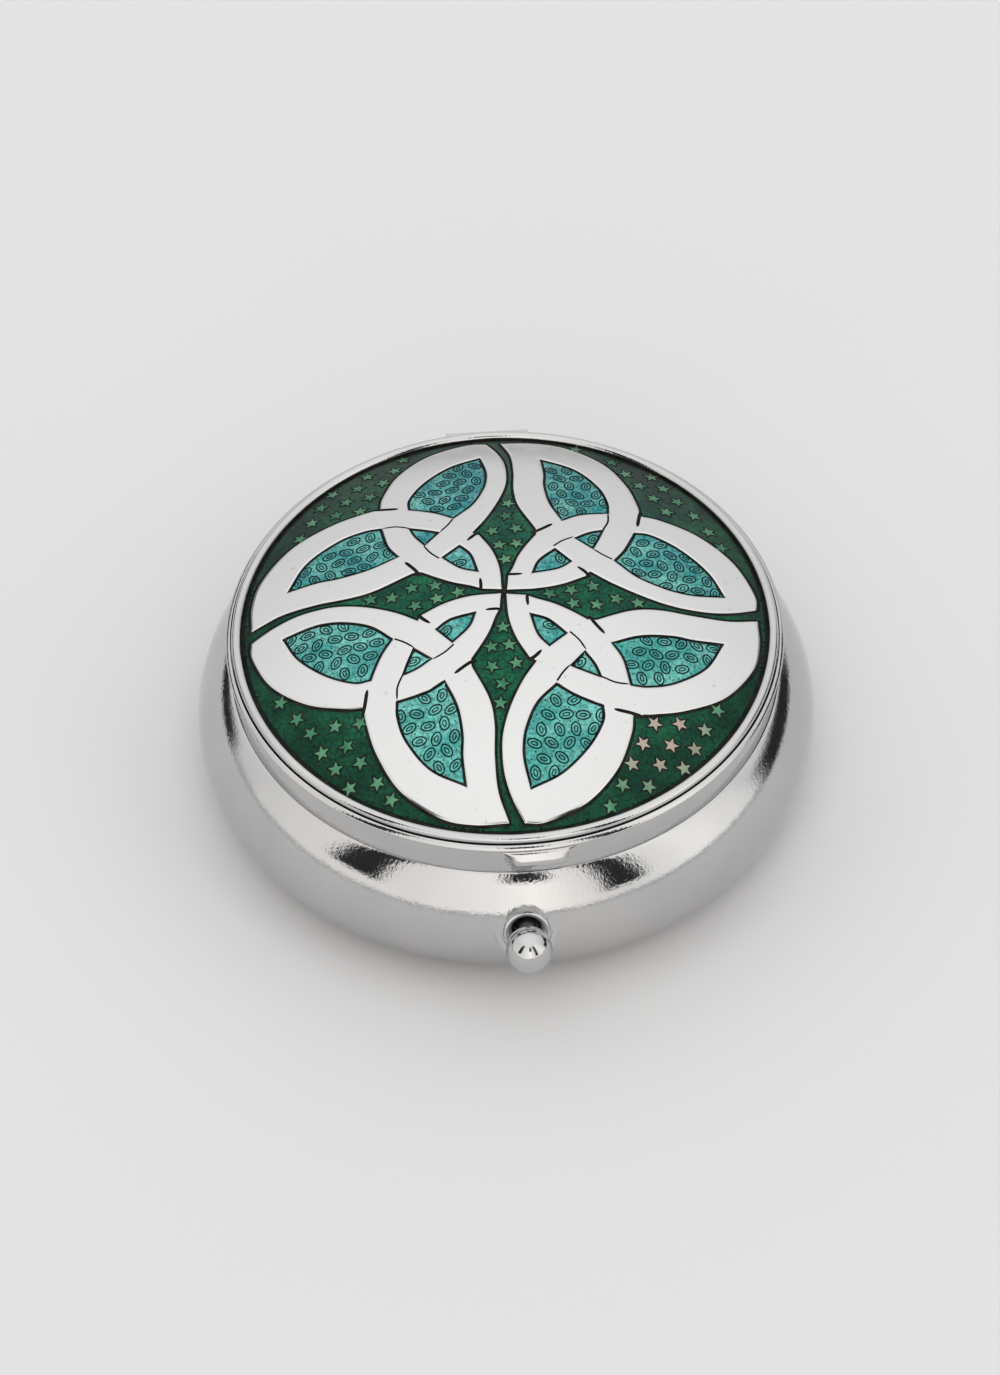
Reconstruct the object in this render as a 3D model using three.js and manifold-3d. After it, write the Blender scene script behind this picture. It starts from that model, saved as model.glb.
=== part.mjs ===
// Round push-button pill box: a bulging pressed-metal case, a three-compartment tray,
// a sprung lid with a mirror inside and a domed enamel medallion on top.
// Millimetres, +Z up. The origin is the middle of the flat bottom, the button is at -Y
// and the hinge at +Y.

import * as THREE from 'three';
import { mergeVertices } from 'three/addons/utils/BufferGeometryUtils.js';
import Module from 'manifold-3d';

const wasm = await Module();
wasm.setup();

// ---- driving dimensions ----

const SEGMENTS = 48;               // facets round the case
const GAP = 0.05;                  // between pieces that rest on each other

const BULGE_R = 5.35;              // radius of the case's round side, up to its widest height
const BULGE_CENTRE_R = 19.65;      // centre of that round side, from the axis
const SHOULDER_R = 7.6;            // radius of the round side above its widest height
const SHELL_T = 0.6;               // sheet of the case
const MOUTH_R = 22.05;             // bore of the case's mouth, where the neck stands in it

const NECK_R = 22.0;
const NECK_BORE_R = 21.3;
const NECK_BOTTOM_Z = 9.6;
const NECK_TOP_Z = 14.0;
const NOTCH_Z = 11.45;             // bottom of the neck's notch for the hinge

const LID_R = 22.3;
const LID_BOTTOM_Z = 14.2;
const LID_T = 0.3;
const MEDALLION_R = 21.0;          // visible radius of the enamel
const MEDALLION_RIM_Z = 14.8;
const DOME_RISE = 4.62;
const BEAD_R = 0.4;                // bead of the bezel round the enamel
const BEAD_Z = 14.75;
const ENAMEL_T = 0.25;
const PLATE_T = 0.6;
const DOME_R = (MEDALLION_R ** 2 + DOME_RISE ** 2) / (2 * DOME_RISE);
const DOME_CENTRE_Z = MEDALLION_RIM_Z + DOME_RISE - DOME_R;

const MIRROR_R = 17.6;
const MIRROR_T = 1.1;
const PAD_T = 0.2;

const TRAY_R = 20.4;
const TRAY_BOTTOM_Z = 1.6;
const TRAY_TOP_Z = 12.2;
const TRAY_WALL = 0.9;
const TRAY_FLOOR = 1.0;
const POCKET_HALF = 3.4;           // pocket in the tray's front for the latch
const POCKET_Y = -17.5;

const PIVOT_Y = 22.3;              // lid hinge
const PIVOT_Z = 12.4;
const KNUCKLE_R = 0.8;
const PIN_R = 0.35;
const PIN_PLAY = 0.07;
const NOTCH_HALF = 5.4;            // notch in the neck for the hinge

const BUTTON_TILT = 24;            // degrees that the button points up
const BUTTON_ROOT_R = 24.65;       // where its axis meets the case, from the middle
const BUTTON_ROOT_Z = 7.32;
const BUTTON_BALL_R = 1.8;
const BUTTON_REACH = 3.0;          // from the case's surface to the ball's centre
const STEM_R = 0.8;
const STEM_INNER = -5.1;           // inner end of the stem, along the button's axis
const FERRULE_BORE_R = 0.95;
const FERRULE_TUBE_R = 1.4;
const FERRULE_FACE = 0.45;         // how far the ferrule stands out

const LEAF_HALF = 2.2;             // latch leaf
const LEAF_T = 0.3;
const LEAF_Y = -19.8;
const LEAF_FOOT_Z = 0.75;
const CATCH_Y = -20.95;
const CATCH_HALF = 2.4;
const CATCH_Z = 12.4;

const TAB_TURN = 3.15;             // degrees from the button to the lid's thumb tab
const TAB_MIDDLE_R = 22.6;

// ---- materials ----

function metal(color, roughness) {
  return new THREE.MeshStandardMaterial({ color, roughness, metalness: 1 });
}

const chrome = metal(0xd9dadb, 0.12);
const steel = metal(0xb4b6b8, 0.35);
const silver = metal(0xe3e3e1, 0.18);
const enamel = new THREE.MeshStandardMaterial({ color: 0x0b5640, roughness: 0.15, metalness: 0.2 });
const glass = new THREE.MeshStandardMaterial({ color: 0xe8eef0, roughness: 0.03, metalness: 1 });
const plastic = new THREE.MeshStandardMaterial({ color: 0xe9e6df, roughness: 0.45, metalness: 0 });
const foam = new THREE.MeshStandardMaterial({ color: 0x55585a, roughness: 0.9, metalness: 0 });

// ---- helpers ----

const rad = THREE.MathUtils.degToRad;
const point = (r, z) => new THREE.Vector2(r, z);

// points on an arc round (r, z), from one angle to another, in degrees
function arc(r, z, radius, from, to, steps) {
  const points = [];
  for (let i = 0; i <= steps; i += 1) {
    const angle = rad(from + (to - from) * i / steps);
    points.push(point(r + radius * Math.cos(angle), z + radius * Math.sin(angle)));
  }
  return points;
}

// a closed three.js geometry as a manifold solid with its faces pointing out
function solid(geometry) {
  const bare = geometry.clone();
  bare.deleteAttribute('normal');
  bare.deleteAttribute('uv');
  const merged = mergeVertices(bare, 1e-4);
  const position = merged.attributes.position;
  const triangles = [];
  let volume = 0;
  for (let i = 0; i < merged.index.count; i += 3) {
    const [a, b, c] = [0, 1, 2].map((k) => merged.index.getX(i + k));
    if (a === b || b === c || c === a) continue;
    triangles.push([a, b, c]);
    const [p, q, s] = [a, b, c].map((k) => new THREE.Vector3().fromBufferAttribute(position, k));
    volume += p.dot(q.cross(s));
  }
  const order = volume < 0 ? triangles.map(([a, b, c]) => [a, c, b]) : triangles;
  return new wasm.Manifold(new wasm.Mesh({
    numProp: 3,
    vertProperties: new Float32Array(position.array),
    triVerts: new Uint32Array(order.flat()),
  }));
}

// a profile of radius and height turned about the Z axis
function turned(profile, segments = SEGMENTS) {
  const closed = [...profile, profile[0]];
  return solid(new THREE.LatheGeometry(closed, segments).rotateX(Math.PI / 2));
}

// a profile that starts and ends on the axis, turned about the Z axis
function turnedOnAxis(profile, segments = SEGMENTS) {
  return solid(new THREE.LatheGeometry(profile, segments).rotateX(Math.PI / 2));
}

function ring(inner, outer, bottom, top, segments = SEGMENTS) {
  const corners = [[inner, bottom], [outer, bottom], [outer, top], [inner, top]];
  return turned(corners.map(([r, z]) => point(r, z)), segments);
}

function disc(radius, bottom, top, segments = SEGMENTS) {
  const corners = [[0, bottom], [radius, bottom], [radius, top], [0, top]];
  return turnedOnAxis(corners.map(([r, z]) => point(r, z)), segments);
}

function box(x0, x1, y0, y1, z0, z1) {
  const geometry = new THREE.BoxGeometry(x1 - x0, y1 - y0, z1 - z0);
  return solid(geometry.translate((x0 + x1) / 2, (y0 + y1) / 2, (z0 + z1) / 2));
}

// a cylinder lying along X, round the hinge's axis
function along(radius, x0, x1, segments = 20) {
  const geometry = new THREE.CylinderGeometry(radius, radius, x1 - x0, segments);
  return solid(geometry.rotateZ(Math.PI / 2).translate((x0 + x1) / 2, PIVOT_Y, PIVOT_Z));
}

// an outline of [y, z] corners, pushed along X from -half to half
function strip(corners, half) {
  const outline = new THREE.Shape(corners.map(([y, z]) => point(y, z)));
  const geometry = new THREE.ExtrudeGeometry(outline, { depth: 2 * half, bevelEnabled: false });
  const place = new THREE.Matrix4().makeBasis(
    new THREE.Vector3(0, 1, 0),
    new THREE.Vector3(0, 0, 1),
    new THREE.Vector3(1, 0, 0),
  );
  return solid(geometry.applyMatrix4(place).translate(-half, 0, 0));
}

// a stretch of a ring between two angles, in degrees from +X
function sector(inner, outer, bottom, top, from, to, steps) {
  const outline = new THREE.Shape([
    ...arc(0, 0, outer, from, to, steps),
    ...arc(0, 0, inner, to, from, steps),
  ]);
  const geometry = new THREE.ExtrudeGeometry(outline, { depth: top - bottom, bevelEnabled: false });
  return solid(geometry.translate(0, 0, bottom));
}

function node(name, shape, material) {
  const mesh = shape.getMesh();
  const geometry = new THREE.BufferGeometry();
  geometry.setAttribute('position', new THREE.BufferAttribute(mesh.vertProperties, 3));
  geometry.setIndex(new THREE.BufferAttribute(mesh.triVerts, 1));
  geometry.computeVertexNormals();
  const part = new THREE.Mesh(geometry, material);
  part.name = name;
  return part;
}

// ---- case ----

// the outer line of the case, from the middle of its bottom to its mouth, grown by some
function caseLine(grow) {
  const centre = BULGE_CENTRE_R + BULGE_R - SHOULDER_R;
  const top = Math.acos((MOUTH_R - centre) / (SHOULDER_R + grow)) * 180 / Math.PI;
  const side = arc(BULGE_CENTRE_R, BULGE_R, BULGE_R + grow, -90, 0, 7);
  const shoulder = arc(centre, BULGE_R, SHOULDER_R + grow, 0, top, 6);
  return [point(0, -grow), ...side, ...shoulder.slice(1)];
}

// where the button comes out, and the frame whose +Z is the button's axis
const buttonRoot = new THREE.Vector3(0, -BUTTON_ROOT_R, BUTTON_ROOT_Z);
const buttonFrame = new THREE.Matrix4()
  .makeRotationX(rad(90 - BUTTON_TILT))
  .setPosition(buttonRoot);

// a profile turned about the button's axis
function onButton(profile, segments = 20) {
  const geometry = new THREE.LatheGeometry(profile.map(([r, z]) => point(r, z)), segments);
  return solid(geometry.rotateX(Math.PI / 2).applyMatrix4(buttonFrame));
}

function baseShell() {
  const shell = turnedOnAxis([...caseLine(0), ...caseLine(-SHELL_T).reverse()]);
  const hole = onButton([[0, -2], [FERRULE_TUBE_R + 0.1, -2], [FERRULE_TUBE_R + 0.1, 2], [0, 2]]);
  const rivetHoles = RIVETS.map((x) => rivetCylinder(x, 0.6, -0.5, 1));
  return rivetHoles.reduce((left, cut) => left.subtract(cut), shell.subtract(hole));
}

function neckRing() {
  const notch = box(-NOTCH_HALF, NOTCH_HALF, 20, 23, NOTCH_Z, NECK_TOP_Z + 1);
  return ring(NECK_BORE_R, NECK_R, NECK_BOTTOM_Z, NECK_TOP_Z).subtract(notch);
}

// ---- tray ----

// one third of the tray's inside, with rounded corners, from one divider to the next
function compartment(from) {
  const half = TRAY_WALL / 2;
  const inner = TRAY_R - TRAY_WALL;
  const start = Math.asin(half / inner) * 180 / Math.PI;
  const tip = half / Math.sin(rad(60));
  const outline = new THREE.Shape([
    point(tip * Math.cos(rad(60)), tip * Math.sin(rad(60))),
    ...arc(0, 0, inner, start, 120 - start, 14),
  ]);
  const depth = TRAY_TOP_Z - TRAY_BOTTOM_Z;
  const geometry = new THREE.ExtrudeGeometry(outline, { depth, bevelEnabled: false });
  geometry.rotateZ(rad(from));
  return solid(geometry.translate(0, 0, TRAY_BOTTOM_Z + TRAY_FLOOR));
}

function compartmentTray() {
  const pocketY = POCKET_Y + TRAY_WALL;
  const wide = POCKET_HALF + TRAY_WALL;
  let tray = disc(TRAY_R, TRAY_BOTTOM_Z, TRAY_TOP_Z);
  for (const from of [-90, 30, 150]) {
    tray = tray.subtract(compartment(from));
  }
  const cup = disc(TRAY_R, TRAY_BOTTOM_Z, TRAY_TOP_Z);
  const pocketWalls = box(-wide, wide, -TRAY_R, pocketY, TRAY_BOTTOM_Z, TRAY_TOP_Z).intersect(cup);
  const pocket = box(-POCKET_HALF, POCKET_HALF, -TRAY_R - 1, POCKET_Y, 0, TRAY_TOP_Z + 1);
  return tray.add(pocketWalls).subtract(pocket);
}

// ---- latch ----

const RIVETS = [-1.1, 1.1];
const RIVET_Y = -15;

function rivetCylinder(x, radius, bottom, top) {
  return disc(radius, bottom, top, 12).translate([x, RIVET_Y, 0]);
}

function latchLeaf() {
  const back = LEAF_Y + LEAF_T;
  const hook = CATCH_Z + 0.4;
  const leaf = strip([
    [-13.5, LEAF_FOOT_Z],
    [-13.5, LEAF_FOOT_Z + LEAF_T],
    [back, LEAF_FOOT_Z + LEAF_T],
    [back, hook + 0.45],
    [LEAF_Y, hook + 0.45],
    [LEAF_Y - 0.65, hook + 0.2],
    [LEAF_Y - 0.65, hook],
    [LEAF_Y, hook],
    [LEAF_Y, LEAF_FOOT_Z],
  ], LEAF_HALF);
  return RIVETS.reduce((left, x) => left.subtract(rivetCylinder(x, 0.6, 0, 2)), leaf);
}

function latchRivet(x) {
  const foot = LEAF_FOOT_Z + LEAF_T + GAP;
  return rivetCylinder(x, 0.5, 0.05, foot + 0.1).add(rivetCylinder(x, 0.95, foot, foot + 0.3));
}

// ---- button ----

function buttonFerrule() {
  const face = FERRULE_FACE;
  const collar = onButton([[0, -1], [2.35, -1], [2.25, 0.1], [1.95, face], [0, face]]);
  const outside = caseLine(GAP);
  const shell = turnedOnAxis([...outside, point(0, outside[outside.length - 1].y)]);
  const tube = onButton([
    [0, -1.5],
    [FERRULE_TUBE_R, -1.5],
    [FERRULE_TUBE_R, face - 0.1],
    [0, face - 0.1],
  ]);
  const bore = onButton([
    [0, -2],
    [FERRULE_BORE_R, -2],
    [FERRULE_BORE_R, 0],
    [FERRULE_TUBE_R, face + 0.1],
    [0, face + 0.1],
  ]);
  return collar.subtract(shell).add(tube).subtract(bore);
}

function buttonStem() {
  return onButton([
    [0, STEM_INNER],
    [0.45, STEM_INNER],
    [STEM_R, STEM_INNER + 0.4],
    [STEM_R, -2.3],
    [0.55, -2.3],
    [0.55, -1.9],
    [STEM_R, -1.9],
    [STEM_R, BUTTON_REACH - 0.6],
    [0, BUTTON_REACH - 0.6],
  ]);
}

function stemClip() {
  return onButton([[0.6, -2.25], [1.3, -2.25], [1.3, -1.95], [0.6, -1.95], [0.6, -2.25]], 20);
}

function buttonBall() {
  const ball = arc(0, BUTTON_REACH, BUTTON_BALL_R, -90, 90, 10).map(({ x, y }) => [Math.max(x, 0), y]);
  ball[0][0] = 0;
  ball[ball.length - 1][0] = 0;
  const socket = [[0, 0], [STEM_R + GAP, 0], [STEM_R + GAP, BUTTON_REACH - 0.5], [0, BUTTON_REACH - 0.5]];
  return onButton(ball).subtract(onButton(socket));
}

// ---- hinge ----

const LEAF_SHEET = 0.35;           // sheet of the hinge's base leaf
const BASE_KNUCKLES = [[-5, -3], [3, 5]];
const LID_KNUCKLES = [[-2.9, -1.6], [1.6, 2.9]];

function bored(leaf) {
  return leaf.subtract(along(PIN_R + PIN_PLAY, -6, 6, 16));
}

function hingeBaseLeaf() {
  const outer = NECK_BORE_R - 2 * GAP;
  const inner = outer - LEAF_SHEET;
  let leaf = sector(inner, outer, NECK_BOTTOM_Z + 0.3, NECK_TOP_Z - 0.4, 72, 108, 10);
  for (const [from, to] of BASE_KNUCKLES) {
    const arm = box(from, to, inner - 0.4, PIVOT_Y, PIVOT_Z - 0.6, PIVOT_Z + 0.4);
    leaf = leaf.add(arm.subtract(disc(inner, 0, NECK_TOP_Z)));
    leaf = leaf.add(along(KNUCKLE_R, from, to));
  }
  return bored(leaf);
}

function hingeLidLeaf() {
  const top = LID_BOTTOM_Z - GAP;
  let leaf = box(-3.4, 3.4, 19.4, PIVOT_Y + 0.3, top - 0.3, top);
  for (const [from, to] of LID_KNUCKLES) {
    leaf = leaf.add(box(from, to, PIVOT_Y - 0.8, PIVOT_Y + 0.3, PIVOT_Z, top));
    leaf = leaf.add(along(KNUCKLE_R, from, to));
  }
  return bored(leaf);
}

function hingePin() {
  return along(PIN_R, -5.1, 5.1, 16);
}

// the torsion spring on the pin: a helix with one leg to the lid and one to the neck
function hingeSpring() {
  const wire = 0.12;
  const coil = PIN_R + 0.3;
  const turns = 3.25;
  const points = [new THREE.Vector3(-1.2, PIVOT_Y - 0.8, PIVOT_Z + coil)];
  for (let i = 0; i <= turns * 12; i += 1) {
    const angle = rad(90 - i * 30);
    const x = -1.15 + 2.3 * i / (turns * 12);
    points.push(new THREE.Vector3(x, PIVOT_Y + coil * Math.cos(angle), PIVOT_Z + coil * Math.sin(angle)));
  }
  points.push(new THREE.Vector3(1.2, PIVOT_Y + coil, PIVOT_Z + 1.2));
  const route = new THREE.CatmullRomCurve3(points);
  const section = new THREE.Shape(arc(0, 0, wire, 0, 288, 4));
  return solid(new THREE.ExtrudeGeometry(section, { steps: 48, extrudePath: route, bevelEnabled: false }));
}

// ---- lid ----

function lidPan() {
  const top = LID_BOTTOM_Z + LID_T;
  return turnedOnAxis([
    point(0, LID_BOTTOM_Z),
    point(LID_R - 0.05, LID_BOTTOM_Z),
    point(LID_R, LID_BOTTOM_Z + 0.1),
    point(LID_R - 0.05, top),
    point(LID_R - 0.25, top + 0.12),
    point(LID_R - 0.42, top + 0.12),
    point(LID_R - 0.45, top),
    point(0, top),
  ]);
}

// a lip that flares out under the lid's rim, narrower and rounded at its lower edge
function thumbTab() {
  const lip = turned([
    [22.1, 14.15], [22.4, 14.15], [22.62, 13.82], [22.88, 13.45], [22.93, 13.15],
    [22.82, 12.92], [22.64, 12.96], [22.55, 13.3], [22.3, 13.75], [22.1, 13.9],
  ].map(([r, z]) => point(r, z)), 2 * SEGMENTS);
  const outline = [
    [2.9, 14.3], [2.9, 14.1], [2.45, 13.85], [2.3, 13.5], [2.25, 13.25], [2.05, 12.98], [1.75, 12.85],
  ];
  const other = outline.map(([across, z]) => [-across, z]).reverse();
  const front = strip([...outline, ...other], 1.2).translate([TAB_MIDDLE_R, 0, 0]);
  return lip.intersect(front.rotate([0, 0, TAB_TURN - 90]));
}

function lidCatch() {
  const top = LID_BOTTOM_Z - GAP;
  return strip([
    [CATCH_Y, CATCH_Z],
    [CATCH_Y, top],
    [CATCH_Y + 0.3, top],
    [CATCH_Y + 0.3, CATCH_Z + 0.3],
    [CATCH_Y + 1, CATCH_Z + 0.3],
    [CATCH_Y + 1, CATCH_Z],
  ], CATCH_HALF);
}

function bezelRing() {
  const bottom = LID_BOTTOM_Z + LID_T + GAP;
  const inner = MEDALLION_R + 0.03;
  const middle = inner + 0.39;
  const outer = middle + BEAD_R;
  return turned([
    point(inner, bottom),
    point(outer, bottom),
    point(outer, BEAD_Z),
    ...arc(middle, BEAD_Z, BEAD_R, 20, 160, 3),
    point(inner, BEAD_Z),
  ]);
}

// a domed sheet between two depths below the enamel's top, cut off flat at some height
function domed(upper, lower, radius, floor) {
  const outside = DOME_R - upper;
  const inside = DOME_R - lower;
  const edge = Math.asin(radius / outside);
  const seat = Math.min(Math.acos((floor - DOME_CENTRE_Z) / inside), Math.asin(radius / inside));
  const top = [];
  const under = [];
  const steps = 7;
  for (let i = 0; i <= steps; i += 1) {
    const [a, b] = [edge, seat].map((angle) => angle * i / steps);
    top.push(point(outside * Math.sin(a), DOME_CENTRE_Z + outside * Math.cos(a)));
    under.push(point(inside * Math.sin(b), DOME_CENTRE_Z + inside * Math.cos(b)));
  }
  const foot = point(radius, Math.max(floor, under[steps].y));
  return turnedOnAxis([...under, foot, ...top.reverse()]);
}

function medallionPlate() {
  const seat = LID_BOTTOM_Z + LID_T + GAP;
  const upper = ENAMEL_T + GAP;
  const sheet = domed(upper, upper + PLATE_T, MEDALLION_R - 0.4, 0);
  return sheet.subtract(disc(LID_R, 0, seat));
}

function enamelLayer() {
  return domed(0, ENAMEL_T, MEDALLION_R - 0.05, 0);
}

function mirrorPad() {
  const top = LID_BOTTOM_Z - GAP;
  return disc(MIRROR_R - 0.6, top - PAD_T, top);
}

function mirror() {
  const top = LID_BOTTOM_Z - 2 * GAP - PAD_T;
  return disc(MIRROR_R, top - MIRROR_T, top);
}

function mirrorBezel() {
  const top = LID_BOTTOM_Z - GAP;
  const under = LID_BOTTOM_Z - 3 * GAP - PAD_T - MIRROR_T;
  return turned([
    point(MIRROR_R + 0.1, top),
    point(MIRROR_R + 0.1, under),
    point(MIRROR_R - 0.5, under),
    point(MIRROR_R - 0.5, under - 0.25),
    point(MIRROR_R + 0.35, under - 0.25),
    point(MIRROR_R + 0.6, under),
    point(MIRROR_R + 0.6, top - 0.4),
    point(MIRROR_R + 1.5, top - 0.4),
    point(MIRROR_R + 1.5, top),
  ]);
}

// ---- assembly ----

const base = new THREE.Group();
base.add(
  node('base_shell', baseShell(), chrome),
  node('neck_ring', neckRing(), chrome),
  node('compartment_tray', compartmentTray(), plastic),
  node('latch_leaf', latchLeaf(), steel),
  node('latch_rivet_left', latchRivet(RIVETS[0]), steel),
  node('latch_rivet_right', latchRivet(RIVETS[1]), steel),
  node('button_ferrule', buttonFerrule(), chrome),
  node('hinge_base_leaf', hingeBaseLeaf(), steel),
  node('hinge_pin', hingePin(), steel),
  node('hinge_spring', hingeSpring(), steel),
);

const button = new THREE.Group();
button.add(
  node('button_ball', buttonBall(), chrome),
  node('button_stem', buttonStem(), steel),
  node('stem_clip', stemClip(), steel),
);

const lid = new THREE.Group();
lid.add(
  node('lid_pan', lidPan(), chrome),
  node('thumb_tab', thumbTab(), chrome),
  node('lid_catch', lidCatch(), steel),
  node('bezel_ring', bezelRing(), chrome),
  node('medallion_plate', medallionPlate(), silver),
  node('enamel_layer', enamelLayer(), enamel),
  node('mirror_pad', mirrorPad(), foam),
  node('mirror', mirror(), glass),
  node('mirror_bezel', mirrorBezel(), chrome),
  node('hinge_lid_leaf', hingeLidLeaf(), steel),
);

const pillBox = new THREE.Group();
pillBox.add(base, button, lid);

export default pillBox;
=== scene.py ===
"""Visual model of a round push-button pill box with a domed enamel knotwork lid."""

import math
import random

import bmesh
import bpy
import numpy as np
from mathutils import Matrix, Vector, geometry, kdtree


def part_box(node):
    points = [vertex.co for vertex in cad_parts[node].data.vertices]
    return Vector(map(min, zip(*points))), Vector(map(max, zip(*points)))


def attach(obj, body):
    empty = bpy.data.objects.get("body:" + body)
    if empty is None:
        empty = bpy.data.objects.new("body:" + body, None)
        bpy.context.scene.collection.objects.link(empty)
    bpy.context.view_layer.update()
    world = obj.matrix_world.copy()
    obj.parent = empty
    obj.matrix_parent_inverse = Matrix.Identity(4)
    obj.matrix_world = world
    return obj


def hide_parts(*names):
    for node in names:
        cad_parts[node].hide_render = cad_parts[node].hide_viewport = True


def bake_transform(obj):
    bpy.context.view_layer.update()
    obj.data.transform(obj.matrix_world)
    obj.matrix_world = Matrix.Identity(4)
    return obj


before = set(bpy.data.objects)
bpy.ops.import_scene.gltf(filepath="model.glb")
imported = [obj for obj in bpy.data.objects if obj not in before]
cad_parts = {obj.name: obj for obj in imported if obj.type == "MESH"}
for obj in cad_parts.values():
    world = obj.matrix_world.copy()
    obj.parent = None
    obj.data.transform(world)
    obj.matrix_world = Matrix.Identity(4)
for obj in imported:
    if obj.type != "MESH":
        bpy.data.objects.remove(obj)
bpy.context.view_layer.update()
MM = 0.001

# ---- places and sizes, in millimetres, read from the frame ----


def span(node):
    """Lowest and highest corner of a CAD node, in millimetres."""
    return [Vector(corner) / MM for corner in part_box(node)]


_, SHELL_HIGH = span("base_shell")
NECK_LOW, NECK_HIGH = span("neck_ring")
PAN_LOW, PAN_HIGH = span("lid_pan")
BEZEL_LOW, BEZEL_HIGH = span("bezel_ring")
_, ENAMEL_HIGH = span("enamel_layer")
BALL_LOW, BALL_HIGH = span("button_ball")

BULGE = 5.35                             # radius of the case's round side
BULGE_R = SHELL_HIGH.x - BULGE           # its centre, from the axis
SHOULDER_R = 7.6                         # radius of the round side above its widest height
SHEET = 0.6                              # thickness of the pressed metal
MOUTH_R = NECK_HIGH.x                    # the case's mouth closes on the neck
MEDALLION_R = 21.0                       # radius of the enamelled disc
RIM_Z = 14.8                             # height of the enamel's edge
RISE = ENAMEL_HIGH.z - RIM_Z             # of the dome over its edge
DOME_R = (MEDALLION_R ** 2 + RISE ** 2) / (2 * RISE)
TAB_TURN = 3.15                          # degrees from the button to the tab
BUTTON_TILT = 24                         # degrees that the button points up
BUTTON_ROOT = (0, -24.65, 7.32)          # where its axis leaves the case
BUTTON_REACH = 3.0                       # from its root to the ball's centre
BALL_R = (BALL_HIGH.x - BALL_LOW.x) / 2
FACETS = 256                             # round the case and the lid
RIVETS = ((-1.1, -15), (1.1, -15))       # the latch's two rivets, in plan


# ---- camera, light and floor ----


def studio_camera():
    """A long lens looking down at the lid, almost in line with the button. In metres."""
    turn, elevation, roll = math.radians(-2.94), math.radians(49.25), math.radians(-1.10)
    distance = 0.3778
    aim = Vector((-0.00064, -0.00346, 0.01179))
    back = Vector((
        math.sin(turn) * math.cos(elevation),
        -math.cos(turn) * math.cos(elevation),
        math.sin(elevation),
    ))
    level = Vector((math.cos(turn), math.sin(turn), 0))
    upright = back.cross(level)
    right = level * math.cos(roll) + upright * math.sin(roll)
    up = upright * math.cos(roll) - level * math.sin(roll)
    data = bpy.data.cameras.new("camera")
    data.lens = 124.0
    data.clip_start = 0.01
    camera = bpy.data.objects.new("camera", data)
    camera.matrix_world = Matrix((
        (right.x, up.x, back.x, aim.x + back.x * distance),
        (right.y, up.y, back.y, aim.y + back.y * distance),
        (right.z, up.z, back.z, aim.z + back.z * distance),
        (0, 0, 0, 1),
    ))
    bpy.context.scene.collection.objects.link(camera)
    bpy.context.scene.camera = camera


CARDS = (                                # the room's dark cards: turns, heights and softness
    ((-155, -112), (-30, 12), 5),
    ((92, 128), (-30, 18), 5),
    ((-64, -46), (15, 62), 2),
    ((28, 42), (13, 62), 2),
    ((-5, 12), (41, 60), 2),
)


def directions(net):
    """The turn from the button's side and the height above the horizon, in degrees."""
    split = net.node("ShaderNodeSeparateXYZ")
    net.link(net.place, split.inputs[0])
    x, y, z = split.outputs
    height = net.math("MULTIPLY", net.math("ARCSINE", z), 180 / math.pi)
    turn = net.math("ARCTAN2", x, net.math("MULTIPLY", y, -1))
    return net.math("MULTIPLY", turn, 180 / math.pi), height


def front_panel(net, turn):
    """The bright panel's colours, from its left end to its right."""
    left, width = 100, 190
    across = net.math("DIVIDE", net.math("ADD", turn, left), width, True)
    return net.ramp(across, [
        (0.0, (1.06, 1.04, 1.0)), (0.35, (1.26, 1.23, 1.19)), (0.55, (1.7, 1.64, 1.57)),
        (0.68, (1.1, 1.08, 1.05)), (0.85, (1.5, 1.47, 1.43)), (1.0, (1.1, 1.09, 1.07)),
    ])


def studio_world():
    """A pale room, brighter overhead and in front, with dark cards for the metal to show."""
    world = bpy.data.worlds.new("studio")
    bpy.context.scene.world = world
    world.use_nodes = True
    net = Net(world.node_tree, "Generated")
    turn, height = directions(net)
    sky = net.ramp(net.math("DIVIDE", height, 90, True), [
        (0.0, (0.5, 0.5, 0.5)), (0.1, (0.92, 0.92, 0.93)), (0.35, (1.02, 1.02, 1.03)),
        (0.6, (1.22, 1.22, 1.22)), (1.0, (1.34, 1.34, 1.33)),
    ])
    front = net.math("MULTIPLY", net.window(turn, -98, 88, 4), net.window(height, 3, 58, 3))
    sky = net.mix(front, sky, front_panel(net, turn))
    for turns, heights, soft in CARDS:
        sideways = net.window(turn, *turns, soft)
        upwards = net.window(height, *heights, soft)
        sky = net.mix(net.math("MULTIPLY", sideways, upwards), sky, (0.035, 0.035, 0.04))
    background = world.node_tree.nodes["Background"]
    net.link(sky, background.inputs["Color"])


def studio_floor():
    """A plain pale sheet, just under the box's bottom."""
    width, drop = 6, 0.00005
    bpy.ops.mesh.primitive_plane_add(size=width, location=(0, 0, -drop))
    floor = bpy.context.object
    floor.name = "floor"
    floor.data.materials.append(paint("floor_pale", (0.7, 0.7, 0.705), 0.8))


# ---- materials ----


def paint(name, color, roughness, metallic=0.0, **inputs):
    """A Principled material. Keyword inputs are socket names with _ for spaces."""
    material = bpy.data.materials.new(name)
    material.use_nodes = True
    shader = material.node_tree.nodes["Principled BSDF"]
    shader.inputs["Base Color"].default_value = (*color, 1)
    shader.inputs["Roughness"].default_value = roughness
    shader.inputs["Metallic"].default_value = metallic
    for key, value in inputs.items():
        shader.inputs[key.replace("_", " ")].default_value = value
    return material


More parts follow.
